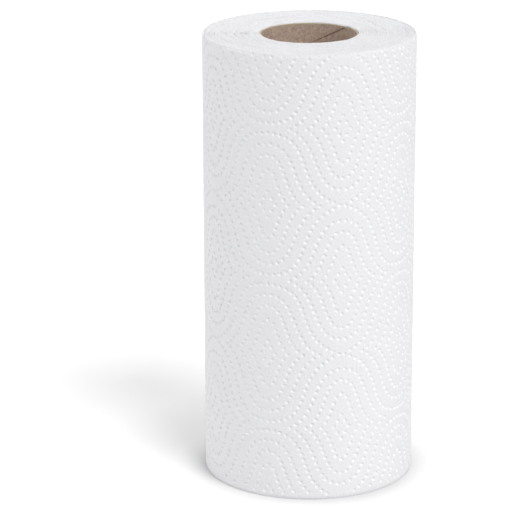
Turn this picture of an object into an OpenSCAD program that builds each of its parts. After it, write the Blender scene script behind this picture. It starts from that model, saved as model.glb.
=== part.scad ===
// Paper towel roll standing on its end: a two-ply embossed web wound on a
// spiral-wound paperboard tube. Millimetres, Z up, the roll's axis on Z and its
// foot at Z = 0. Directions round the roll are in degrees from -Y towards +X.

/* [Roll] */
// Width of the web, which is the height of the standing roll
roll_h = 225; // [190:1:300]
// Diameter over the outermost turn
roll_d = 106; // [90:1:150]
// Thickness that one wound turn of the embossed web takes up
turn_t = 0.45; // [0.4:0.05:0.8]
// Length round the roll over which the cut edge of the last sheet slopes down
tail_w = 0.6; // [0.4:0.1:1.5]

/* [Core tube] */
// Outside diameter of the paperboard tube
core_d = 48; // [38:0.5:60]
// Wall of the tube
core_wall = 0.6; // [0.5:0.1:1.6]
// Width of the open seam between the edges of the tube's inner ply
seam_w = 0.6; // [0.3:0.1:1.2]
// Depth of the seam, which is one ply of the wall
seam_depth = 0.2; // [0.1:0.05:0.3]
// Height that the seam falls in one turn round the tube
seam_lead = 83; // [60:1:140]
// Direction in which the seam meets the top of the tube
seam_turn = 123.5; // [0:0.5:359]

/* [Embossing] */
// Depth of the embossed lines in the skin
emboss_depth = 0.6; // [0.3:0.1:0.8]
// Width of an embossed line at the skin
emboss_w = 2.4; // [1.6:0.1:3]
// Repeat of the pattern round the roll, before whole halves of it are fitted to it
repeat_w = 72.6; // [66:0.2:100]
// Repeat of the pattern up the roll, before whole halves of it are fitted to it
repeat_h = 76.2; // [68:0.2:100]
// Direction that a column of medallions faces
pattern_turn = -21.5; // [-45:0.5:45]

/* [Ends] */
// Turns between one groove and the next, because single turns lie too close to show
groove_turns = 2; // [2:1:6]
// Depth of the groove between the turns on the two ends
groove_depth = 0.3; // [0.1:0.05:0.4]
// Height above the end at which the slopes of neighbouring grooves would meet
groove_land = 0.2; // [0.1:0.05:0.4]
// Plain margin left beside the tube and beside the embossed skin
groove_margin = 0.3; // [0.2:0.1:1]

/* [Hidden] */

roll_r = roll_d / 2;
core_r = core_d / 2;
bore_r = core_r - core_wall;
over = 1;

// Embossing.
// A quarter of each ring runs from its top to its side as one Bezier curve, drawn
// for a square cell as wide as the last ring, and fitted to the real cell later:
// [half height, half width, pull along the top, pull at the side, slope at the side,
// straight pieces]. The last is the wave between the columns of medallions.
rings = [
    [6.2, 3.9, 1.2, 2.4, 58, 1],
    [17.5, 10.3, 4.3, 10.1, 49, 3],
    [24.7, 18.1, 9.9, 12.2, 30, 4],
    [30.3, 26.6, 16.2, 17.6, 25, 4],
    [35.7, 38.2, 26.7, 28.7, 15, 5],
];
drawn_w = rings[len(rings) - 1][1];
edge = emboss_w / 2 * drawn_w / ((repeat_w + repeat_h) / 4);

// Whole half repeats round the roll and up it, and the cell that each one fills.
cols = round(PI * roll_d / (repeat_w / 2));
rows = round(roll_h / (repeat_h / 2));
cell_h = roll_h / rows;
tail_turn = pattern_turn - 2 * round(cols / 4) * 360 / cols;
tail_span = 360 - tail_w / roll_r * 180 / PI;

function pulls(r) = [
    [0, r[0]],
    [r[2], r[0]],
    [r[1] - r[3] * cos(r[4]), r[3] * sin(r[4])],
    [r[1], 0],
];
function bezier(p, t) =
    pow(1 - t, 3) * p[0] + 3 * t * pow(1 - t, 2) * p[1]
    + 3 * t * t * (1 - t) * p[2] + pow(t, 3) * p[3];
function along(p, t) =
    pow(1 - t, 2) * (p[1] - p[0]) + 2 * t * (1 - t) * (p[2] - p[1])
    + t * t * (p[3] - p[2]);

// Point j of a quarter ring, moved out by d squarely to the line. Its ends stay on
// the edges of the cell, and the wave's outer edge ends above the cell's corner.
function ring_point(r, j, d) =
    j == 0 ? [0, r[0] + (r[5] == 1 ? d / cos(r[4]) : d)]
    : j < r[5] ? let (
        p = pulls(r),
        t = along(p, j / r[5])
    ) bezier(p, j / r[5]) + d * [-t[1], t[0]] / norm(t)
    : r[1] == drawn_w && d > 0 ? [r[1], d / cos(r[4])]
    : [r[1] + d / sin(r[4]), 0];

// Lines across a cell, three to a ring: its inner edge, its floor and its outer
// edge. They run from the cell's first corner to the wave, and then, turned about
// the cell's middle, from the wave to the opposite corner.
wave = 3 * (len(rings) - 1);
last_line = 2 * wave + 2;

function ring_of(n) = rings[floor((n <= wave + 2 ? n : last_line - n) / 3)];
function line_point(n, j) =
    n <= wave + 2 ? ring_point(ring_of(n), j, (n % 3 - 1) * edge) / drawn_w
    : [1, 1] - line_point(last_line - n, ring_of(n)[5] - j);

line_starts = [
    for (n = 0, s = 1; n <= last_line + 1; s = s + ring_of(min(n, last_line))[5] + 1, n = n + 1) s
];
cell = concat(
    [[0, 0, 0]],
    [
        for (n = [0:last_line])
            for (j = [0:ring_of(n)[5]])
                let (p = line_point(n, j)) [p[0], p[1], n % 3 == 1 ? 1 : 0]
    ],
    [[1, 1, 0], [0, 1, 0]]
);
cell_corner = len(cell) - 1;
cell_last = len(cell) - 2;

function at(n, j) = line_starts[n] + j;
function last_of(n) = at(n, ring_of(n)[5]);

// Triangles between line n and the next. Piece i of the one faces the point of the
// other that lies beside its middle.
function facing(i, a, b) = floor((i + 0.5) * b / a + 0.5);
function strip(n) = let (
    a = ring_of(n)[5],
    b = ring_of(n + 1)[5]
) concat(
    [
        for (i = [0:a - 1])
            [at(n, i), at(n + 1, facing(i, a, b)), at(n, i + 1)]
    ],
    [
        for (k = [0:b - 1])
            let (i = len([for (i = [0:a - 1]) if (facing(i, a, b) <= k) i]))
                [at(n, i), at(n + 1, k), at(n + 1, k + 1)]
    ]
);

// A cell's triangles, before its place mirrors them.
cell_faces = concat(
    [for (j = [0:rings[0][5] - 1]) [0, at(0, j), at(0, j + 1)]],
    [for (n = [0:last_line - 1]) for (f = strip(n)) f],
    [[at(wave + 2, 0), cell_corner, at(wave + 3, 0)]],
    [
        for (j = [0:rings[0][5] - 1])
            [at(last_line, j + 1), at(last_line, j), cell_last]
    ]
);

// Points along the four edges of a cell, each from its lower or left end.
first_side = [0, for (n = [0:wave + 2]) at(n, 0), cell_corner];
first_foot = [0, for (n = [0:wave + 1]) last_of(n)];
far_side = [for (n = [wave + 1:last_line]) last_of(n), cell_last];
far_foot = [cell_corner, for (n = [wave + 3:last_line]) at(n, 0), cell_last];

// Place on the roll of a point that is u cells round it and v cells up it. The web
// gains one turn's thickness round the roll, and lies flat where its last edge is.
function on_roll(u, v, pressed) =
    let (
        share = u / cols,
        dent = share < 0.001 || share > 0.999 ? 0 : pressed * emboss_depth,
        r = roll_r - turn_t * (1 - share) - dent,
        a = tail_turn + tail_span * share
    ) [r * sin(a), -r * cos(a), v * cell_h];

function snapped(p) = [for (x = p) round(x * 100000) / 100000];

// Neighbouring cells mirror each other, so that their shared edges match.
function cell_points(i, k) = [
    for (p = cell)
        let (
            u = i % 2 == 0 ? p[0] : 1 - p[0],
            v = k % 2 == 0 ? p[1] : 1 - p[1]
        ) snapped(on_roll(i + u, k + v, p[2]))
];

function base(i, k) = (k * cols + i) * len(cell);
function flip(f, turned) = turned ? [f[0], f[2], f[1]] : f;

skin_points = concat(
    [for (k = [0:rows - 1]) for (i = [0:cols - 1]) for (p = cell_points(i, k)) p],
    [[0, 0, 0], [0, 0, roll_h]]
);
foot_hub = len(skin_points) - 2;
top_hub = len(skin_points) - 1;

skin_faces = [
    for (k = [0:rows - 1])
        for (i = [0:cols - 1])
            for (f = cell_faces)
                flip([for (n = f) base(i, k) + n], (i + k) % 2 == 1)
];

// Both ends of the skin, as fans about the axis.
top_edge = rows % 2 == 0 ? first_foot : far_foot;
end_faces = concat(
    [
        for (i = [0:cols - 1])
            for (n = [0:len(first_foot) - 2])
                let (b = base(i, 0)) flip(
                    [foot_hub, b + first_foot[n], b + first_foot[n + 1]],
                    i % 2 == 1
                )
    ],
    [
        for (i = [0:cols - 1])
            for (n = [0:len(top_edge) - 2])
                let (b = base(i, rows - 1)) flip(
                    [top_hub, b + top_edge[n + 1], b + top_edge[n]],
                    i % 2 == 1
                )
    ]
);

// The cut edge of the last sheet, from the outermost turn down to the one below.
end_side = cols % 2 == 1 ? far_side : first_side;
function lower(chain, k) = k % 2 == 0 ? chain[0] : chain[len(chain) - 1];
function upper(chain, k) = lower(chain, k + 1);
tail_faces = concat(
    [
        for (k = [0:rows - 1])
            for (n = [0:len(first_side) - 2])
                let (b = base(0, k)) flip(
                    [
                        b + first_side[n + 1],
                        b + first_side[n],
                        base(cols - 1, k) + lower(end_side, k),
                    ],
                    k % 2 == 1
                )
    ],
    [
        for (k = [0:rows - 1])
            for (n = [0:len(end_side) - 2])
                let (b = base(cols - 1, k)) flip(
                    [
                        b + end_side[n],
                        b + end_side[n + 1],
                        base(0, k) + upper(first_side, k),
                    ],
                    k % 2 == 1
                )
    ],
    [
        [
            foot_hub,
            base(cols - 1, 0) + lower(end_side, 0),
            base(0, 0) + lower(first_side, 0),
        ],
        [
            top_hub,
            base(0, rows - 1) + upper(first_side, rows - 1),
            base(cols - 1, rows - 1) + upper(end_side, rows - 1),
        ],
    ]
);

module embossed_skin() {
    polyhedron(
        points = skin_points,
        faces = concat(skin_faces, end_faces, tail_faces)
    );
}

// Ends of the winding.
// The groove between the turns is a spiral of half turns about two centres that lie
// half its pitch apart, so that each half turn joins the next one out.
groove_pitch = groove_turns * turn_t;
groove_first = core_r + groove_pitch / 2 + groove_margin;
groove_last = roll_r - turn_t - emboss_depth - groove_pitch - groove_margin;
groove_count = floor((groove_last - groove_first) / groove_pitch) + 1;

module groove_comb(first_r) {
    reach = groove_pitch / 2;
    last_r = first_r + (groove_count - 1) * groove_pitch;
    rotate_extrude(angle = 180, $fn = 96)
        polygon(concat(
            [[first_r - reach, over], [first_r - reach, groove_land]],
            [
                for (n = [0:groove_count - 1])
                    for (p = [
                        [first_r + n * groove_pitch, -groove_depth],
                        [first_r + n * groove_pitch + reach, groove_land],
                    ]) p
            ],
            [[last_r + reach, over]]
        ));
}

module spiral_groove() {
    rotate([0, 0, tail_turn - 90]) {
        groove_comb(groove_first);
        translate([groove_pitch / 2, 0, 0])
            rotate([0, 0, 180])
                groove_comb(groove_first + groove_pitch / 2);
    }
}

module paper_roll() {
    color("white")
        difference() {
            difference() {
                embossed_skin();
                translate([0, 0, -over])
                    cylinder(r = core_r, h = roll_h + 2 * over, $fn = 128);
            }
            translate([0, 0, roll_h])
                spiral_groove();
            mirror([0, 0, 1])
                spiral_groove();
        }
}

// Core tube.
// The seam's cutter is a square bar on a helix that falls as it goes round.
seam_steps = ceil((roll_h + 2 * over) / seam_lead * 24);

function seam_point(n, r, side) =
    let (
        z = roll_h + over - n * (roll_h + 2 * over) / seam_steps,
        a = seam_turn + (roll_h - z) / seam_lead * 360
    ) [r * sin(a), -r * cos(a), z + side * seam_w / 2];

module seam_cutter() {
    inner = bore_r - over;
    outer = bore_r + seam_depth;
    points = [
        for (n = [0:seam_steps])
            for (p = [
                seam_point(n, inner, -1),
                seam_point(n, outer, -1),
                seam_point(n, outer, 1),
                seam_point(n, inner, 1),
            ]) p
    ];
    sides = [
        for (n = [0:seam_steps - 1])
            for (q = [0:3])
                let (
                    a = 4 * n + q,
                    b = 4 * n + (q + 1) % 4
                )
                    for (f = [[a, a + 4, b + 4], [a, b + 4, b]]) f
    ];
    last = 4 * seam_steps;
    ends = [
        [0, 1, 2],
        [0, 2, 3],
        [last, last + 2, last + 1],
        [last, last + 3, last + 2],
    ];
    polyhedron(points = points, faces = concat(sides, ends));
}

module core_tube() {
    color("tan")
        difference() {
            cylinder(r = core_r, h = roll_h, $fn = 128);
            translate([0, 0, -over])
                cylinder(r = bore_r, h = roll_h + 2 * over, $fn = 128);
            seam_cutter();
        }
}

core_tube();
paper_roll();
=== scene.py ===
"""Paper towel roll standing on its end: an embossed web wound on a paperboard tube.

Metres, Z up, the roll's axis on Z and its foot at Z = 0. Directions round the roll
are in degrees from -Y towards +X, and the web is followed towards its cut edge.
"""

import logging
import math
from dataclasses import dataclass, field
from enum import Enum

import bmesh
import bpy
from mathutils import Matrix, Vector, noise
from mathutils.kdtree import KDTree


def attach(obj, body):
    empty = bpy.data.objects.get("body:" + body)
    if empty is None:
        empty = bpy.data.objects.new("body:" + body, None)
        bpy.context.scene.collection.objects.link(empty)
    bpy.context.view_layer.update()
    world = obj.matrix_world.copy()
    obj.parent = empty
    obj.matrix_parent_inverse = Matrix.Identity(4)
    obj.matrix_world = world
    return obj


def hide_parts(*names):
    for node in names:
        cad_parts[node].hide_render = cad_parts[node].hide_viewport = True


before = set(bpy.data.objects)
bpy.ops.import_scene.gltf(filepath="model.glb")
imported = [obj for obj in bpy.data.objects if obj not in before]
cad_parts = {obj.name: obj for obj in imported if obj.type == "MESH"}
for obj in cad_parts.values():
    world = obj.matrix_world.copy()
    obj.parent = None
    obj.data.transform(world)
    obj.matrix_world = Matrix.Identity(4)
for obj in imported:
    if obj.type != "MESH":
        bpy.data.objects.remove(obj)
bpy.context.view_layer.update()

MM = 0.001
CUT_DIST = 1e-6
WELD_DIST = 5e-6
RIM_DIST = 1e-5
BODY = "root"
LOG = logging.getLogger("paper_towel_roll")

Colour = tuple[float, float, float]
Place = tuple[float, float, float]


class Slot(Enum):
    """Material slots of the finishes."""

    BOARD = "tube_board"
    PAPER = "towel_paper"


class RingShape(Enum):
    """How a quarter of a ring of dots runs from its top to its side."""

    LOZENGE = "straight"
    OGEE = "curved"


def eased(share: float) -> float:
    """Eases a share in and out, held between 0 and 1."""
    share = min(1.0, max(0.0, share))
    return share * share * (3 - 2 * share)


def on_roll(r: float, turn: float, z: float) -> Vector:
    """Gives a point on the roll from its radius, its turn in radians and its height."""
    return Vector((r * math.sin(turn), -r * math.cos(turn), z))


def cut(bm: bmesh.types.BMesh, place: Place, normal: Place, clear: bool = True) -> None:
    """Cuts a mesh along a plane.

    Args:
        bm: The mesh.
        place: A point of the plane.
        normal: The plane's normal.
        clear: True to delete what lies on the normal's side.
    """
    bmesh.ops.bisect_plane(
        bm,
        geom=bm.verts[:] + bm.edges[:] + bm.faces[:],
        dist=CUT_DIST,
        plane_co=place,
        plane_no=normal,
        clear_outer=clear,
    )


def open_rim(bm: bmesh.types.BMesh, z: float) -> list[bmesh.types.BMEdge]:
    """Lists the open edges of a mesh at a height."""
    return [
        e for e in bm.edges if e.is_boundary and abs(e.verts[0].co.z - z) < RIM_DIST
    ]


def draw_in(
    bm: bmesh.types.BMesh,
    rim: list[bmesh.types.BMEdge],
    inwards: float,
    up: float = 0.0,
) -> list[bmesh.types.BMEdge]:
    """Extrudes a rim about the axis, towards it.

    Args:
        bm: The mesh.
        rim: Its edges.
        inwards: How far the new rim lies nearer the axis.
        up: How far the new rim lies above the old one.

    Returns:
        The edges of the new rim.
    """
    grown = bmesh.ops.extrude_edge_only(bm, edges=rim)["geom"]
    verts = {v for v in grown if isinstance(v, bmesh.types.BMVert)}
    for v in verts:
        r = v.co.xy.length
        v.co.xy *= (r - inwards) / r
        v.co.z += up
    edges = [e for e in grown if isinstance(e, bmesh.types.BMEdge)]
    return [e for e in edges if all(v in verts for v in e.verts)]


def smooth(bm: bmesh.types.BMesh, crease: float) -> None:
    """Shades a mesh smooth, apart from its creases.

    Args:
        bm: The mesh.
        crease: The least angle of a crease, in degrees.
    """
    for face in bm.faces:
        face.smooth = True
    for edge in bm.edges:
        if len(edge.link_faces) == 2 and edge.calc_face_angle() > math.radians(crease):
            edge.smooth = False


def finished(bm: bmesh.types.BMesh, name: str) -> bpy.types.Object:
    """Turns a mesh into an object of the scene, at the origin.

    Args:
        bm: The mesh, freed here.
        name: Name of the piece.

    Returns:
        The object.
    """
    mesh = bpy.data.meshes.new(name)
    bm.to_mesh(mesh)
    bm.free()
    piece = bpy.data.objects.new(name, mesh)
    bpy.context.scene.collection.objects.link(piece)
    return piece


@dataclass(frozen=True)
class DotRing:
    """A quarter of one ring of embossed dots, drawn for a square cell.

    Lengths are in millimetres. The pulls and the slope shape the curve, steps is the
    number of dot spacings along it, and first is where its first dot stands.
    """

    shape: RingShape
    top: float
    side: float
    steps: float
    pull_top: float = 0.0
    pull_side: float = 0.0
    slope: float = 0.0
    first: float = 0.0
    samples: int = 240

    def point(self, t: float) -> Vector:
        """Gives a point of the quarter.

        Args:
            t: Share of the curve's parameter, from 0 at the top to 1 at the side.

        Returns:
            The point, measured from the medallion's middle.
        """
        top, side = Vector((0.0, self.top)), Vector((self.side, 0.0))
        if self.shape is RingShape.LOZENGE:
            return top.lerp(side, t)
        turn = math.radians(self.slope)
        over = Vector((self.pull_top, self.top))
        beside = side + self.pull_side * Vector((-math.cos(turn), math.sin(turn)))
        first, last = top.lerp(over, t), beside.lerp(side, t)
        middle = over.lerp(beside, t)
        return first.lerp(middle, t).lerp(middle.lerp(last, t), t)

    def dots(self, scale: Vector) -> list[Vector]:
        """Spaces the dots evenly along the quarter.

        Args:
            scale: Size of the real cell over the drawn one, across and up.

        Returns:
            The dots' places in the real cell.
        """
        curve = [
            self.point(n / self.samples) * scale for n in range(self.samples + 1)
        ]
        runs = [0.0]
        for a, b in zip(curve, curve[1:]):
            runs.append(runs[-1] + (b - a).length)
        places, n = [], 0
        for k in range(int(self.steps - self.first) + 1):
            wanted = runs[-1] * (self.first + k) / self.steps
            while n < self.samples - 1 and runs[n + 1] < wanted:
                n += 1
            share = (wanted - runs[n]) / (runs[n + 1] - runs[n])
            places.append(curve[n].lerp(curve[n + 1], min(1.0, max(0.0, share))))
        return places


@dataclass(frozen=True)
class Embossing:
    """Dots pressed into the web in rings about two staggered sets of medallions.

    A cell is a quarter of the repeat, from the middle of one medallion to the middle of
    the next, and its neighbours mirror it. A pit's wall falls by the wall share of its
    depth, and its bowl by the rest.
    """

    cell_w: float
    cell_h: float
    drawn_w: float = 38.2 * MM
    dot_r: float = 1.2 * MM
    dot_depth: float = 0.8 * MM
    wall_share: float = 0.8
    floor_share: float = 0.42
    puff: float = 0.09 * MM
    puff_reach: float = 1.8 * MM
    sides: int = 8
    margin: float = 3.0 * MM
    margin_cuts: int = 11
    long_edge: float = 3.2 * MM
    rings: tuple[DotRing, ...] = (
        DotRing(RingShape.LOZENGE, 6.2, 3.9, 2),
        DotRing(RingShape.OGEE, 17.5, 10.3, 6, 4.3, 10.1, 49),
        DotRing(RingShape.OGEE, 24.7, 18.1, 10, 9.9, 12.2, 30),
        DotRing(RingShape.OGEE, 30.3, 26.6, 12.5, 16.2, 17.6, 25, 0.5),
    )
    wave: DotRing = DotRing(RingShape.OGEE, 35.7, 38.2, 17.5, 26.7, 28.7, 15)

    def cell_dots(self) -> list[Vector]:
        """Places the dots of one cell.

        Returns:
            Their middles, measured from the cell's lower left corner.
        """
        scale = Vector((self.cell_w, self.cell_h)) / self.drawn_w * MM
        corner = Vector((self.cell_w, self.cell_h))
        dots = []
        for ring in self.rings:
            for dot in ring.dots(scale):
                dots += [dot, corner - dot]
        wave = self.wave.dots(scale)
        wave[-1].y = 0.0
        return dots + wave

    def cell(self) -> bmesh.types.BMesh:
        """Models one cell flat: pits pressed into a sheet, cut square at its edges.

        Returns:
            The cell's mesh, with the sheet facing up.
        """
        bm = bmesh.new()
        self._lay_sheet(bm)
        self._puff_up(bm)
        self._press(bm)
        for x, y, side in ((0, 0, -1), (self.cell_w, self.cell_h, 1)):
            for normal in ((side, 0, 0), (0, side, 0)):
                cut(bm, (x, y, 0), normal)
        return bm

    def _lay_sheet(self, bm: bmesh.types.BMesh) -> None:
        """Lays a flat sheet a little larger than the cell, with a hole at each dot.

        Args:
            bm: The empty mesh to model it in.
        """
        past = 2 * self.margin
        outline = bmesh.ops.create_circle(
            bm,
            cap_ends=False,
            radius=math.sqrt(0.5),
            segments=4,
            matrix=Matrix.Rotation(math.pi / 4, 4, "Z"),
        )["verts"]
        bmesh.ops.scale(
            bm, vec=(self.cell_w + past, self.cell_h + past, 1), verts=outline
        )
        bmesh.ops.translate(
            bm, vec=(self.cell_w / 2, self.cell_h / 2, 0), verts=outline
        )
        bmesh.ops.subdivide_edges(bm, edges=bm.edges[:], cuts=self.margin_cuts)
        for dot in self.cell_dots():
            bmesh.ops.create_circle(
                bm,
                cap_ends=False,
                radius=self.dot_r,
                segments=self.sides,
                matrix=Matrix.Translation(dot.to_3d()),
            )
        rims = set(bm.edges)
        bmesh.ops.triangle_fill(
            bm, use_beauty=True, use_dissolve=False, edges=bm.edges[:], normal=(0, 0, 1)
        )
        long_edges = [
            e for e in bm.edges if e not in rims and e.calc_length() > self.long_edge
        ]
        bmesh.ops.subdivide_edges(bm, edges=long_edges, cuts=1)
        bmesh.ops.triangulate(bm, faces=bm.faces[:])
        inner = [e for e in bm.edges if e not in rims and len(e.link_faces) == 2]
        bmesh.ops.beautify_fill(bm, faces=bm.faces[:], edges=inner)

    def _puff_up(self, bm: bmesh.types.BMesh) -> None:
        """Raises the sheet softly between the dots.

        Args:
            bm: The flat sheet.
        """
        places = [
            (x, y, 0)
            for dot in self.cell_dots()
            for x in (dot.x, -dot.x, 2 * self.cell_w - dot.x)
            for y in (dot.y, -dot.y, 2 * self.cell_h - dot.y)
        ]
        dots = KDTree(len(places))
        for n, place in enumerate(places):
            dots.insert(place, n)
        dots.balance()
        for v in bm.verts:
            away = dots.find((v.co.x, v.co.y, 0))[2] - self.dot_r
            v.co.z = self.puff * (eased(away / self.puff_reach) - 1)

    def _press(self, bm: bmesh.types.BMesh) -> None:
        """Presses a small bowl at each hole of the sheet, and marks the bowl for its
        lighter colour: partly the pressed paper's tone, partly a painted highlight.

        Args:
            bm: The sheet, with a hole at each dot.
        """
        rims = [e for e in bm.edges if e.is_boundary]
        for edge in rims:
            edge.smooth = False
        pits = bmesh.ops.holes_fill(bm, edges=rims, sides=self.sides)["faces"]
        # Mask of the bowls' lighter colour: partly the pressed paper's tone, partly a
        # painted highlight against the pits' shade.
        pressed = bm.verts.layers.float.new("pressed")
        for face in pits:
            if face.normal.z < 0:
                face.normal_flip()
        bmesh.ops.inset_individual(
            bm,
            faces=pits,
            thickness=self.dot_r * (1 - self.floor_share),
            depth=-self.wall_share * self.dot_depth,
            use_even_offset=True,
        )
        bowl = (1 - self.wall_share) * self.dot_depth
        middles = bmesh.ops.poke(
            bm, faces=pits, offset=-bowl, center_mode="MEAN"
        )["verts"]
        for middle in middles:
            middle[pressed] = 1.0
            for edge in middle.link_edges:
                edge.other_vert(middle)[pressed] = 1.0


@dataclass(frozen=True)
class EndRelief:
    """How far the turns' edges lie below the cut edge at the ends of the winding.

    A wave is a noise along the web, given by its changes in a turn and its place. The
    grooves between the turns open where their own wave passes a threshold.
    """

    level: float = 0.42 * MM
    swing: float = 0.2 * MM
    waves: tuple[tuple[float, float], ...] = (
        (0.43, 3.5),
        (1.27, 5.5),
        (5.3, 0.5),
        (37.3, 7.5),
    )
    least: float = 0.02 * MM
    groove: float = 0.1 * MM
    opening_wave: tuple[float, float] = (23.7, 16.5)
    opening_from: float = 0.12
    opening_gain: float = 3.2 * MM
    opening_most: float = 0.8 * MM
    foot_side: float = 91.7

    def depth(self, web: float, groove: bool, top: bool) -> float:
        """Says how deep a place lies.

        Args:
            web: Place along the web, in turns from the tube.
            groove: True between two turns, False on a turn's edge.
            top: True at the upper end of the roll.

        Returns:
            The depth.
        """
        side = 0.0 if top else self.foot_side

        def wave(changes: float, place: float) -> float:
            """Reads one of the noises."""
            return noise.noise(Vector((web * changes, side, place)))

        depth = self.level + self.swing * sum(wave(*each) for each in self.waves)
        if groove:
            over = max(0.0, wave(*self.opening_wave) - self.opening_from)
            depth += self.groove + min(self.opening_most, self.opening_gain * over)
        return max(self.least, depth)


@dataclass
class PaperWeb:
    """The wound web: its outermost turn, embossed, and the turns inside it.

    The lip is how far the rims round over, and the fade how fast the dots die away
    beside the plain bands. The hidden walls lie deeper than the pits by the clearance.
    """

    width: float = 225 * MM
    roll_d: float = 106 * MM
    core_d: float = 48 * MM
    turn_t: float = 0.45 * MM
    repeat_w: float = 74 * MM
    repeat_h: float = 75.5 * MM
    pattern_turn: float = -22.0
    lip: float = 0.5 * MM
    lip_reach: float = 1.8 * MM
    fade: float = 3.5 * MM
    plain_foot: float = 1.0 * MM
    plain_head: float = -1.2 * MM
    tail_fade: float = 1.5 * MM
    ripple: float = 0.08 * MM
    ripple_wave: Place = (34.0, 21.0, 3.1)
    clearance: float = 0.9 * MM
    turns_apart: float = 0.1 * MM
    sheet_l: float = 280 * MM
    slit_half_w: float = 0.5 * MM
    slit_depth: float = 0.35 * MM
    slit_pitch: float = 3.2 * MM
    bridge_share: float = 0.3
    bridge_depth: float = 0.2
    crease: float = 60.0
    end_rows: int = 3
    end_steps: int = 240
    relief: EndRelief = EndRelief()
    roll_r: float = field(init=False)
    core_r: float = field(init=False)
    round_l: float = field(init=False)
    slits_at: float = field(init=False)
    cols: int = field(init=False)
    rows: int = field(init=False)
    cell_w: float = field(init=False)
    cell_h: float = field(init=False)
    tail_turn: float = field(init=False)
    turns: int = field(init=False)
    pitch: float = field(init=False)

    def __post_init__(self) -> None:
        """Fits whole half repeats and whole turns to the roll, and places its ends.

        The cut edge stands at the back, whole repeats away from the pattern's turn.
        """
        self.roll_r = self.roll_d / 2
        self.core_r = self.core_d / 2
        self.round_l = math.pi * self.roll_d
        self.slits_at = self.round_l - self.sheet_l
        self.cols = round(self.round_l / (self.repeat_w / 2))
        self.rows = math.ceil(self.width / (self.repeat_h / 2))
        self.cell_w = self.round_l / self.cols
        self.cell_h = self.repeat_h / 2
        self.tail_turn = self.pattern_turn - 2 * round(self.cols / 4) * 360 / self.cols
        wound = self.roll_r - self.turn_t - self.core_r
        self.turns = round(wound / self.turn_t)
        self.pitch = wound / self.turns

    def outer_turn(self) -> bpy.types.Object:
        """Models the outermost turn as a closed sleeve, embossed and cut at its ends.

        Returns:
            The piece.
        """
        bm = Embossing(self.cell_w, self.cell_h).cell()
        self._repeat(bm)
        self._trim(bm)
        layer = bm.loops.layers.uv.new("web")
        for face in bm.faces:
            for loop in face.loops:
                loop[layer].uv = loop.vert.co.xy
        self._wind(bm)
        self._close_tail(bm)
        self._close_ends(bm)
        bmesh.ops.recalc_face_normals(bm, faces=bm.faces[:])
        smooth(bm, self.crease)
        return finished(bm, "outer_turn")

    def _repeat(self, bm: bmesh.types.BMesh) -> None:
        """Mirrors one cell into a whole repeat, and lays repeats over the web.

        Args:
            bm: The cell, which becomes the flat web.
        """
        across, up = Vector((self.cell_w, 0, 0)), Vector((0, self.cell_h, 0))
        for axis, size in (("X", across), ("Y", up)):
            bmesh.ops.translate(bm, vec=-size, verts=bm.verts[:])
            bmesh.ops.mirror(
                bm,
                geom=bm.verts[:] + bm.edges[:] + bm.faces[:],
                matrix=Matrix.Identity(4),
                merge_dist=CUT_DIST,
                axis=axis,
            )
            bmesh.ops.translate(bm, vec=size, verts=bm.verts[:])
        bmesh.ops.recalc_face_normals(bm, faces=bm.faces[:])
        if sum(f.normal.z for f in bm.faces) < 0:
            bmesh.ops.reverse_faces(bm, faces=bm.faces[:])
        for step, cells in ((2 * across, self.cols), (2 * up, self.rows)):
            repeat = bm.verts[:] + bm.edges[:] + bm.faces[:]
            for n in range(1, math.ceil(cells / 2)):
                copy = bmesh.ops.duplicate(bm, geom=repeat)["geom"]
                verts = [v for v in copy if isinstance(v, bmesh.types.BMVert)]
                bmesh.ops.translate(bm, vec=step * n, verts=verts)
            bmesh.ops.remove_doubles(bm, verts=bm.verts[:], dist=WELD_DIST)

    def _trim(self, bm: bmesh.types.BMesh) -> None:
        """Cuts the flat web to size, and draws its lips and its line of slits on it.

        Args:
            bm: The flat web.
        """
        for place, normal, clear in (
            ((self.round_l, 0, 0), (1, 0, 0), True),
            ((0, 0, 0), (0, -1, 0), True),
            ((0, self.width, 0), (0, 1, 0), True),
            ((0, self.lip_reach, 0), (0, 1, 0), False),
            ((0, self.width - self.lip_reach, 0), (0, 1, 0), False),
            ((self.slits_at - self.slit_half_w, 0, 0), (1, 0, 0), False),
            ((self.slits_at, 0, 0), (1, 0, 0), False),
            ((self.slits_at + self.slit_half_w, 0, 0), (1, 0, 0), False),
        ):
            cut(bm, place, normal, clear)
        line = [e for e in bm.edges if all(self._on_slits(v.co.x) for v in e.verts)]
        bmesh.ops.subdivide_edges(bm, edges=line, cuts=2)
        bmesh.ops.triangulate(bm, faces=[f for f in bm.faces if len(f.verts) > 4])

    def _on_slits(self, along: float) -> bool:
        """Tells if a place along the web is on the slits before the last sheet."""
        return abs(self.slits_at - along) < RIM_DIST

    def _wind(self, bm: bmesh.types.BMesh) -> None:
        """Winds the flat web once round the roll.

        Args:
            bm: The flat web, lengthways along X and across along Y.
        """
        # The bowls' lighter colour, partly a painted highlight, fades out with the
        # relief.
        pressed = bm.verts.layers.float["pressed"]
        for v in bm.verts:
            along, up, out = v.co
            share = min(1.0, max(0.0, along / self.round_l))
            relief = eased(min(share, 1 - share) * self.round_l / self.tail_fade)
            relief *= eased((up - self.plain_foot) / self.fade)
            relief *= eased((self.width - up - self.plain_head) / self.fade)
            v[pressed] *= relief
            edge = max(self.lip_reach - up, up - self.width + self.lip_reach, 0.0)
            out = out * relief - self.lip * (edge / self.lip_reach) ** 2
            x_wave, y_wave, place = self.ripple_wave
            wave = noise.noise(Vector((along * x_wave, up * y_wave, place)))
            out += self.ripple * (wave - 1) * relief
            if self._on_slits(along):
                bridge = up % self.slit_pitch < self.bridge_share * self.slit_pitch
                out -= self.slit_depth * (self.bridge_depth if bridge else 1)
            turn = math.radians(self.tail_turn + 360 * share)
            v.co = on_roll(self.roll_r - self.turn_t * (1 - share) + out, turn, up)

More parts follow.
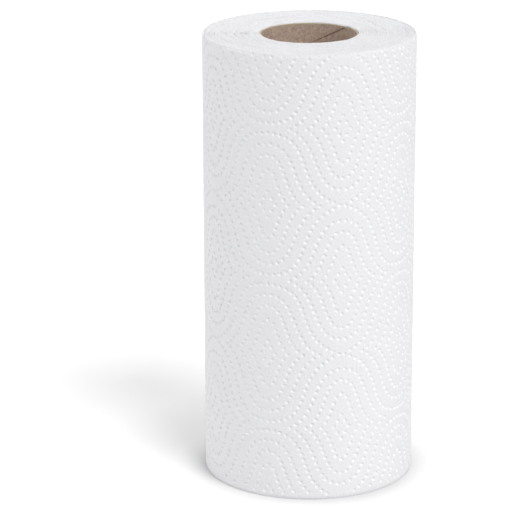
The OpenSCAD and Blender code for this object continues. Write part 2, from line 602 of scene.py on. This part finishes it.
    def _close_tail(self, bm: bmesh.types.BMesh) -> None:
        """Fills the step at the cut edge of the last sheet.

        Args:
            bm: The wound web, open at its ends.
        """
        out = on_roll(1, math.radians(self.tail_turn), 0)
        across = on_roll(1, math.radians(self.tail_turn + 90), 0)
        step = [
            e
            for e in bm.edges
            if e.is_boundary
            and all(
                abs(v.co.dot(across)) < 2 * RIM_DIST and v.co.dot(out) > 0
                for v in e.verts
            )
        ]
        ends: dict[bmesh.types.BMVert, int] = {}
        for e in step:
            for v in e.verts:
                ends[v] = ends.get(v, 0) + 1
        tips = sorted((v for v, n in ends.items() if n == 1), key=lambda v: v.co.z)
        loop = step + [bm.edges.new(tips[:2]), bm.edges.new(tips[2:])]
        bmesh.ops.triangle_fill(
            bm, use_beauty=True, use_dissolve=False, edges=loop, normal=across
        )

    def _close_ends(self, bm: bmesh.types.BMesh) -> None:
        """Turns both cut ends of the web inwards and joins them below the pits.

        Args:
            bm: The sleeve, open at its two ends.
        """
        rims = []
        for z, up in ((0.0, self.fade), (self.width, -self.fade)):
            rim = draw_in(bm, open_rim(bm, z), self.turn_t)
            rims += draw_in(bm, rim, self.clearance, up)
        bmesh.ops.bridge_loops(bm, edges=rims)

    def wound_turns(self) -> bpy.types.Object:
        """Models the turns inside the outermost one, with each turn's edge at the ends.

        Returns:
            The piece.
        """
        bm = bmesh.new()
        for top in (True, False):
            self._end_face(bm, top)
        bmesh.ops.remove_doubles(bm, verts=bm.verts[:], dist=CUT_DIST)
        rims = [e for e in bm.edges if e.is_boundary]
        bore_r = self.core_r + 2 * self.pitch
        inner = [e for e in rims if e.verts[0].co.xy.length < bore_r]
        bmesh.ops.bridge_loops(bm, edges=inner)
        outer = []
        for top, up in ((True, -self.fade), (False, self.fade)):
            rim = [
                e
                for e in rims
                if e not in inner and (e.verts[0].co.z > self.width / 2) == top
            ]
            outer += draw_in(bm, rim, self.clearance + self.turns_apart, up)
        bmesh.ops.bridge_loops(bm, edges=outer)
        bmesh.ops.recalc_face_normals(bm, faces=bm.faces[:])
        for face in bm.faces:
            face.smooth = True
        for edge in rims:
            edge.smooth = False
        return finished(bm, "wound_turns")

    def _end_face(self, bm: bmesh.types.BMesh, top: bool) -> None:
        """Winds a flat grid into the spiral face of one end.

        Args:
            bm: The mesh to add it to.
            top: True for the upper end.
        """
        strips = (self.turns - 1) * self.end_rows
        grid = bmesh.ops.create_grid(
            bm, x_segments=strips, y_segments=self.end_steps, size=0.5
        )["verts"]
        for v in grid:
            row, along = round((v.co.x + 0.5) * strips), v.co.y + 0.5
            sheet, place = divmod(row, self.end_rows)
            depth = self.relief.depth(sheet + along, place == 0, top)
            r = self.core_r + self.pitch * (row / self.end_rows + along)
            turn = math.radians(self.tail_turn + 360 * along)
            v.co = on_roll(r, turn, self.width - depth if top else depth)


@dataclass
class CoreTube:
    """The paperboard tube: an outer wall, and an inner ply wound with an open seam.

    The drop and the rag are how far its frayed upper edge lies below the paper, and
    the lap how far the ply reaches into the wall.
    """

    length: float = 225 * MM
    outer_d: float = 48 * MM
    wall: float = 0.6 * MM
    ply: float = 0.42 * MM
    lap: float = 0.02 * MM
    seam_w: float = 0.9 * MM
    seam_lead: float = 74 * MM
    seam_turn: float = 124.0
    lead_in: float = 1.25
    lead_out: float = 0.25
    drop: float = 0.8 * MM
    rag: float = 0.15 * MM
    rag_wave: float = 3.0
    crease: float = 40.0
    sides: int = 180
    ply_steps: int = 120
    ply_rows: int = 8

    def build(self) -> bpy.types.Object:
        """Models the tube.

        Returns:
            The piece.
        """
        bm = bmesh.new()
        self._inner_ply(bm)
        self._outer_wall(bm)
        for v in bm.verts:
            if v.co.z > self.length - MM:
                place = v.co.xy.normalized() * self.rag_wave
                v.co.z -= self.drop + self.rag * abs(noise.noise(place.to_3d()))
        smooth(bm, self.crease)
        return finished(bm, "board_tube")

    def _inner_ply(self, bm: bmesh.types.BMesh) -> None:
        """Winds the inner ply, one helical strip whose edges leave a narrow seam.

        Args:
            bm: The empty mesh to model it in.
        """
        inner_r = self.outer_d / 2 - self.wall
        start = self.length + self.lead_in * self.seam_lead
        turns = self.length / self.seam_lead + self.lead_in + self.lead_out
        gap = self.seam_w / math.cos(math.atan2(self.seam_lead, math.tau * inner_r))
        bmesh.ops.create_grid(
            bm,
            x_segments=round(turns * self.ply_steps),
            y_segments=self.ply_rows,
            size=0.5,
        )
        bmesh.ops.solidify(bm, geom=bm.faces[:], thickness=-(self.ply + self.lap))
        bmesh.ops.recalc_face_normals(bm, faces=bm.faces[:])
        for v in bm.verts:
            along, across, out = (v.co.x + 0.5) * turns, v.co.y + 0.5, v.co.z
            fall = self.seam_lead * along + gap / 2 + (self.seam_lead - gap) * across
            turn = math.radians(self.seam_turn) + math.tau * (along - self.lead_in)
            v.co = on_roll(inner_r + abs(out), turn, start - fall)
        for z, side in ((0.0, -1), (self.length, 1)):
            cut(bm, (0, 0, z), (0, 0, side))
            bmesh.ops.triangle_fill(
                bm,
                use_beauty=True,
                use_dissolve=False,
                edges=open_rim(bm, z),
                normal=(0, 0, side),
            )
        bmesh.ops.recalc_face_normals(bm, faces=bm.faces[:])

    def _outer_wall(self, bm: bmesh.types.BMesh) -> None:
        """Adds the wall outside the inner ply, as a closed ring.

        Args:
            bm: The mesh to add it to.
        """
        outer_r = self.outer_d / 2
        middle_r = outer_r - self.wall + self.ply
        ring = bmesh.ops.create_circle(
            bm, cap_ends=False, radius=middle_r, segments=self.sides
        )
        first = list(dict.fromkeys(e for v in ring["verts"] for e in v.link_edges))
        edges, faces = first, []
        for r, z in ((outer_r, 0.0), (outer_r, self.length), (middle_r, self.length)):
            grown = bmesh.ops.extrude_edge_only(bm, edges=edges)["geom"]
            verts = [v for v in grown if isinstance(v, bmesh.types.BMVert)]
            faces += [f for f in grown if isinstance(f, bmesh.types.BMFace)]
            edges = [
                e
                for e in grown
                if isinstance(e, bmesh.types.BMEdge)
                and all(v in verts for v in e.verts)
            ]
            for v in verts:
                v.co.xy *= r / v.co.xy.length
                v.co.z = z
        faces += bmesh.ops.bridge_loops(bm, edges=edges + first)["faces"]
        bmesh.ops.recalc_face_normals(bm, faces=faces)


class Nodes:
    """A node tree, with short ways to add to it."""

    def __init__(self, tree: bpy.types.NodeTree) -> None:
        """Takes the tree."""
        self.tree = tree

    def add(
        self,
        kind: str,
        inputs: dict[str | int, object] | None = None,
        **settings: object,
    ) -> bpy.types.Node:
        """Adds a node.

        Args:
            kind: Its type, without the leading ShaderNode.
            inputs: Values or sockets for its inputs, by name or number.
            **settings: The node's own settings.

        Returns:
            The node.
        """
        node = self.tree.nodes.new("ShaderNode" + kind)
        for key, value in settings.items():
            setattr(node, key, value)
        for key, value in (inputs or {}).items():
            if isinstance(value, bpy.types.NodeSocket):
                self.tree.links.new(value, node.inputs[key])
            else:
                node.inputs[key].default_value = value
        return node

    def grain(
        self, place: bpy.types.NodeSocket, scale: float, detail: float, **more: float
    ) -> bpy.types.NodeSocket:
        """Adds a noise.

        Args:
            place: Where to read it.
            scale: Its changes in a metre.
            detail: How many finer noises ride on it.
            **more: Its other inputs.

        Returns:
            Its value.
        """
        inputs = {"Vector": place, "Scale": scale, "Detail": detail, **more}
        return self.add("TexNoise", inputs).outputs[0]

    def share(
        self, value: bpy.types.NodeSocket, low: float, high: float, most: float = 1.0
    ) -> bpy.types.NodeSocket:
        """Maps a value to a share.

        Args:
            value: The value.
            low: What gives 0.
            high: What gives the most.
            most: The largest share.

        Returns:
            The share.
        """
        inputs = {"Value": value, "From Min": low, "From Max": high, "To Max": most}
        return self.add("MapRange", inputs).outputs[0]

    def blend(
        self,
        share: bpy.types.NodeSocket,
        first: bpy.types.NodeSocket | Colour,
        second: Colour,
    ) -> bpy.types.NodeSocket:
        """Mixes two colours.

        Args:
            share: Share of the second.
            first: One colour.
            second: The other.

        Returns:
            The mixed colour.
        """
        # A Mix node's colours are its inputs 6 and 7 and its output 2.
        if not isinstance(first, bpy.types.NodeSocket):
            first = (*first, 1.0)
        inputs = {"Factor": share, 6: first, 7: (*second, 1.0)}
        return self.add("Mix", inputs, data_type="RGBA").outputs[2]

    def bump(
        self,
        height: bpy.types.NodeSocket,
        strength: float,
        distance: float,
        **more: bpy.types.NodeSocket,
    ) -> bpy.types.NodeSocket:
        """Adds a bump.

        Args:
            height: Its height.
            strength: Its strength.
            distance: How deep it is.
            **more: Its other inputs.

        Returns:
            The bent normal.
        """
        inputs = {"Height": height, "Strength": strength, "Distance": distance}
        return self.add("Bump", {**inputs, **more}).outputs[0]

    def calc(
        self,
        operation: str,
        first: bpy.types.NodeSocket,
        second: bpy.types.NodeSocket | float,
    ) -> bpy.types.NodeSocket:
        """Adds a piece of arithmetic.

        Args:
            operation: What it does.
            first: Its first input.
            second: Its second input.

        Returns:
            Its result.
        """
        return self.add("Math", {0: first, 1: second}, operation=operation).outputs[0]

    def seen(self) -> bpy.types.NodeSocket:
        """Tells the rays of the camera, straight or mirrored, from those of the light.

        Returns:
            A socket, 1 for the camera's rays.
        """
        ray = self.add("LightPath")
        seen = ray.outputs["Is Camera Ray"]
        for name in ("Is Glossy Ray", "Is Transmission Ray"):
            seen = self.calc("MAXIMUM", seen, ray.outputs[name])
        return seen

    def dress(
        self,
        tone: bpy.types.NodeSocket,
        normal: bpy.types.NodeSocket,
        roughness: float,
        specular: float,
    ) -> None:
        """Feeds a material's own shader.

        Args:
            tone: Its colour.
            normal: Its normal.
            roughness: Its roughness.
            specular: Strength of its mirror light.
        """
        shader = self.tree.nodes["Principled BSDF"]
        self.tree.links.new(tone, shader.inputs["Base Color"])
        self.tree.links.new(normal, shader.inputs["Normal"])
        shader.inputs["Roughness"].default_value = roughness
        shader.inputs["Specular IOR Level"].default_value = specular


def new_material(name: str) -> bpy.types.Material:
    """Makes a node material."""
    material = bpy.data.materials.new(name)
    material.use_nodes = True
    return material


@dataclass(frozen=True)
class TissueFinish:
    """White tissue: matt and creped, with short fibres felted at random."""

    name: str
    colour: Colour = (0.875, 0.875, 0.895)
    shade: Colour = (0.815, 0.815, 0.835)
    # Colour of the pits' bowls: partly the denser pressed paper, partly a painted
    # highlight that lightens the pits against their shade.
    pressed: Colour = (0.91, 0.91, 0.925)
    roughness: float = 0.92
    specular: float = 0.25
    follows_web: bool = True
    crepe_scale: float = 2600.0
    crepe_detail: float = 2.0
    crepe_stretch: Place = (1.0, 0.28, 1.0)
    crepe_depth: float = 0.06 * MM
    crepe_strength: float = 0.35
    fibre_scale: float = 900.0
    fibre_detail: float = 5.0
    fibre_depth: float = 0.4 * MM
    fibre_strength: float = 1.0
    fibre_roughness: float = 0.65
    fibre_range: tuple[float, float] = (0.35, 0.65)

    def material(self) -> bpy.types.Material:
        """Builds the node material.

        Returns:
            The material.
        """
        material = new_material(self.name)
        nodes = Nodes(material.node_tree)
        place = nodes.add("TexCoord").outputs["UV" if self.follows_web else "Object"]
        stretched = nodes.add("Mapping", {"Vector": place, "Scale": self.crepe_stretch})
        crepe = nodes.grain(stretched.outputs[0], self.crepe_scale, self.crepe_detail)
        fibre = nodes.grain(
            place, self.fibre_scale, self.fibre_detail, Roughness=self.fibre_roughness
        )
        felt = nodes.share(fibre, *self.fibre_range)
        tone = nodes.blend(felt, self.shade, self.colour)
        # Lightens each pit's bowl: partly the pressed paper's tone, partly a painted
        # highlight.
        if self.follows_web:
            dots = nodes.add("Attribute", attribute_name="pressed")
            tone = nodes.blend(dots.outputs["Fac"], tone, self.pressed)
        fine = nodes.bump(crepe, self.crepe_strength, self.crepe_depth)
        coarse = nodes.bump(fibre, self.fibre_strength, self.fibre_depth, Normal=fine)
        nodes.dress(tone, coarse, self.roughness, self.specular)
        return material


@dataclass(frozen=True)
class BoardFinish:
    """Grey-brown recycled board: mottled and flecked, with a fresh cut at its end."""

    name: str = "tube_board"
    light: Colour = (0.64, 0.5, 0.41)
    dark: Colour = (0.36, 0.275, 0.22)
    fleck: Colour = (0.74, 0.62, 0.52)
    cut: Colour = (0.52, 0.47, 0.30)
    cut_at: tuple[float, float] = (223.6 * MM, 224.1 * MM)
    roughness: float = 0.88
    specular: float = 0.3
    mottle_scale: float = 560.0
    mottle_detail: float = 5.0
    mottle_depth: float = 0.15 * MM
    mottle_strength: float = 0.8
    mottle_roughness: float = 0.7
    mottle_range: tuple[float, float] = (0.32, 0.68)
    fleck_scale: float = 1100.0
    fleck_detail: float = 1.0
    fleck_range: tuple[float, float] = (0.6, 0.72)
    fleck_share: float = 0.6

    def material(self) -> bpy.types.Material:
        """Builds the node material.

        Returns:
            The material.
        """
        material = new_material(self.name)
        nodes = Nodes(material.node_tree)
        place = nodes.add("TexCoord").outputs["Object"]
        mottle = nodes.grain(
            place,
            self.mottle_scale,
            self.mottle_detail,
            Roughness=self.mottle_roughness,
        )
        even = nodes.share(mottle, *self.mottle_range)
        tone = nodes.blend(even, self.dark, self.light)
        flecks = nodes.grain(place, self.fleck_scale, self.fleck_detail)
        spots = nodes.share(flecks, *self.fleck_range, self.fleck_share)
        tone = nodes.blend(spots, tone, self.fleck)
        height = nodes.add("SeparateXYZ", {"Vector": place}).outputs["Z"]
        tone = nodes.blend(nodes.share(height, *self.cut_at), tone, self.cut)
        bump = nodes.bump(mottle, self.mottle_strength, self.mottle_depth)
        nodes.dress(tone, bump, self.roughness, self.specular)
        return material


@dataclass(frozen=True)
class SoftLight:
    """A far, wide lamp that lights everything alike.

    Its turn and rise give the direction that it comes from and its spread the angle
    that it fills, all in degrees. Its strength is that of a lamp square to a surface.
    """

    name: str
    turn: float
    rise: float
    spread: float
    strength: float

    def build(self) -> None:
        """Hangs the lamp."""
        light = bpy.data.lights.new(self.name, "SUN")
        light.angle = math.radians(self.spread)
        light.energy = math.pi * self.strength
        lamp = bpy.data.objects.new(self.name, light)
        tip = math.radians(90 - self.rise)
        lamp.rotation_euler = (tip, 0.0, math.radians(self.turn))
        bpy.context.scene.collection.objects.link(lamp)


@dataclass(frozen=True)
class Studio:
    """White floor, soft lamps and the camera of the photograph.

    The floor glows a little to the camera, less where the roll closes it in, which
    paints a shadow round the roll, and its tone is darkened within the foot's reach of
    the roll, a painted contact shadow.
    """

    floor_half: float = 5.0
    floor_tone: float = 0.9
    floor_glow: float = 0.24
    painted_glow_shadow_reach: float = 0.07
    painted_glow_shadow_power: float = 3.0
    painted_foot_shadow_reach: float = 0.013
    painted_foot_shadow_power: float = 0.3
    sky: float = 0.46
    lamps: tuple[SoftLight, ...] = (
        SoftLight("key_light", 38, 50, 30, 0.56),
        SoftLight("rim_light", -102, 20, 50, 0.28),
        SoftLight("back_light", 165, 40, 30, 0.11),
    )
    camera_far: float = 1.272
    camera_up: float = 0.4984
    camera_pitch: float = -17.06
    camera_yaw: float = -1.10
    camera_roll: float = -0.18
    camera_lens: float = 183.3
    camera_sensor: float = 36.0
    camera_sight: float = 50.0

    def build(self) -> None:
        """Sets the stage, the lamps, the sky and the camera."""
        self._floor()
        self._sky()
        for lamp in self.lamps:
            lamp.build()
        self._camera()
        bpy.context.scene.view_settings.view_transform = "Standard"

    def _floor(self) -> None:
        """Lays the floor, white to the camera wherever no shadow falls."""
        bm = bmesh.new()
        bmesh.ops.create_grid(bm, x_segments=1, y_segments=1, size=self.floor_half)
        floor = finished(bm, "studio_floor")
        material = new_material("floor_white")
        nodes = Nodes(material.node_tree)
        nodes.tree.nodes.clear()
        # Painted contact shadow: the floor's colour darkens close to the roll's foot.
        foot = self._openness(nodes, self.painted_foot_shadow_reach, self.painted_foot_shadow_power)
        tone = nodes.calc("MULTIPLY", foot, self.floor_tone)
        # Painted shadow: the camera glow fades where the roll closes the floor in.
        strength = self._openness(nodes, self.painted_glow_shadow_reach, self.painted_glow_shadow_power)
        for factor in (foot, self.floor_glow, nodes.seen()):
            strength = nodes.calc("MULTIPLY", strength, factor)
        lit = nodes.add("BsdfDiffuse", {"Color": tone})
        glow = nodes.add("Emission", {"Strength": strength})
        both = nodes.add("AddShader", {0: lit.outputs[0], 1: glow.outputs[0]})
        nodes.add("OutputMaterial", {"Surface": both.outputs[0]})
        floor.data.materials.append(material)

    @staticmethod
    def _openness(nodes: Nodes, reach: float, power: float) -> bpy.types.NodeSocket:
        """Measures how open the floor is to the sky.

        Args:
            nodes: The floor's nodes.
            reach: How near a thing has to be to count, in metres.
            power: How fast the value falls beside one.

        Returns:
            A socket, 1 on the bare floor.
        """
        around = nodes.add("AmbientOcclusion", {"Distance": reach})
        return nodes.calc("POWER", around.outputs["AO"], power)

    def _sky(self) -> None:
        """Lights the roll evenly, and shows white behind it."""
        world = bpy.data.worlds.new("studio_sky")
        bpy.context.scene.world = world
        world.use_nodes = True
        nodes = Nodes(world.node_tree)
        nodes.tree.nodes.clear()
        white = (1.0, 1.0, 1.0, 1.0)
        light = nodes.add("Background", {"Color": white, "Strength": self.sky})
        backdrop = nodes.add("Background", {"Color": white})
        choice = nodes.add(
            "MixShader", {0: nodes.seen(), 1: light.outputs[0], 2: backdrop.outputs[0]}
        )
        nodes.add("OutputWorld", {"Surface": choice.outputs[0]})

    def _camera(self) -> None:
        """Sets the camera at the photograph's viewing angle."""
        data = bpy.data.cameras.new("photo_camera")
        data.lens = self.camera_lens
        data.sensor_width = self.camera_sensor
        data.clip_end = self.camera_sight
        camera = bpy.data.objects.new("photo_camera", data)
        camera.location = (0.0, -self.camera_far, self.camera_up)
        turn = Matrix.Rotation(math.radians(-self.camera_yaw), 4, "Z")
        tilt = Matrix.Rotation(math.radians(90 + self.camera_pitch), 4, "X")
        roll = Matrix.Rotation(math.radians(self.camera_roll), 4, "Z")
        camera.rotation_euler = (turn @ tilt @ roll).to_euler()
        bpy.context.scene.collection.objects.link(camera)
        bpy.context.scene.camera = camera


def settle(
    piece: bpy.types.Object, finish: bpy.types.Material, slot: Slot, *nodes: str
) -> None:
    """Dresses a piece and says what it rides on and stands for.

    Args:
        piece: The piece.
        finish: Its material.
        slot: The material slot of that finish; not used.
        *nodes: CAD nodes that it replaces.
    """
    piece.data.materials.append(finish)
    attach(piece, BODY)
    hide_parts(*nodes)
    LOG.info("%s: %d faces", piece.name, len(piece.data.polygons))


def main() -> None:
    logging.basicConfig(level=logging.INFO, format="%(name)s: %(message)s")
    Studio().build()
    web = PaperWeb()
    sheet = TissueFinish("tissue_sheet").material()
    edges = TissueFinish(
        "tissue_edges",
        colour=(0.9, 0.9, 0.92),
        shade=(0.78, 0.78, 0.8),
        follows_web=False,
    ).material()
    settle(web.outer_turn(), sheet, Slot.PAPER, "paper_roll")
    settle(web.wound_turns(), edges, Slot.PAPER, "paper_roll")
    settle(CoreTube().build(), BoardFinish().material(), Slot.BOARD, "core_tube")


if __name__ == "__main__":
    main()
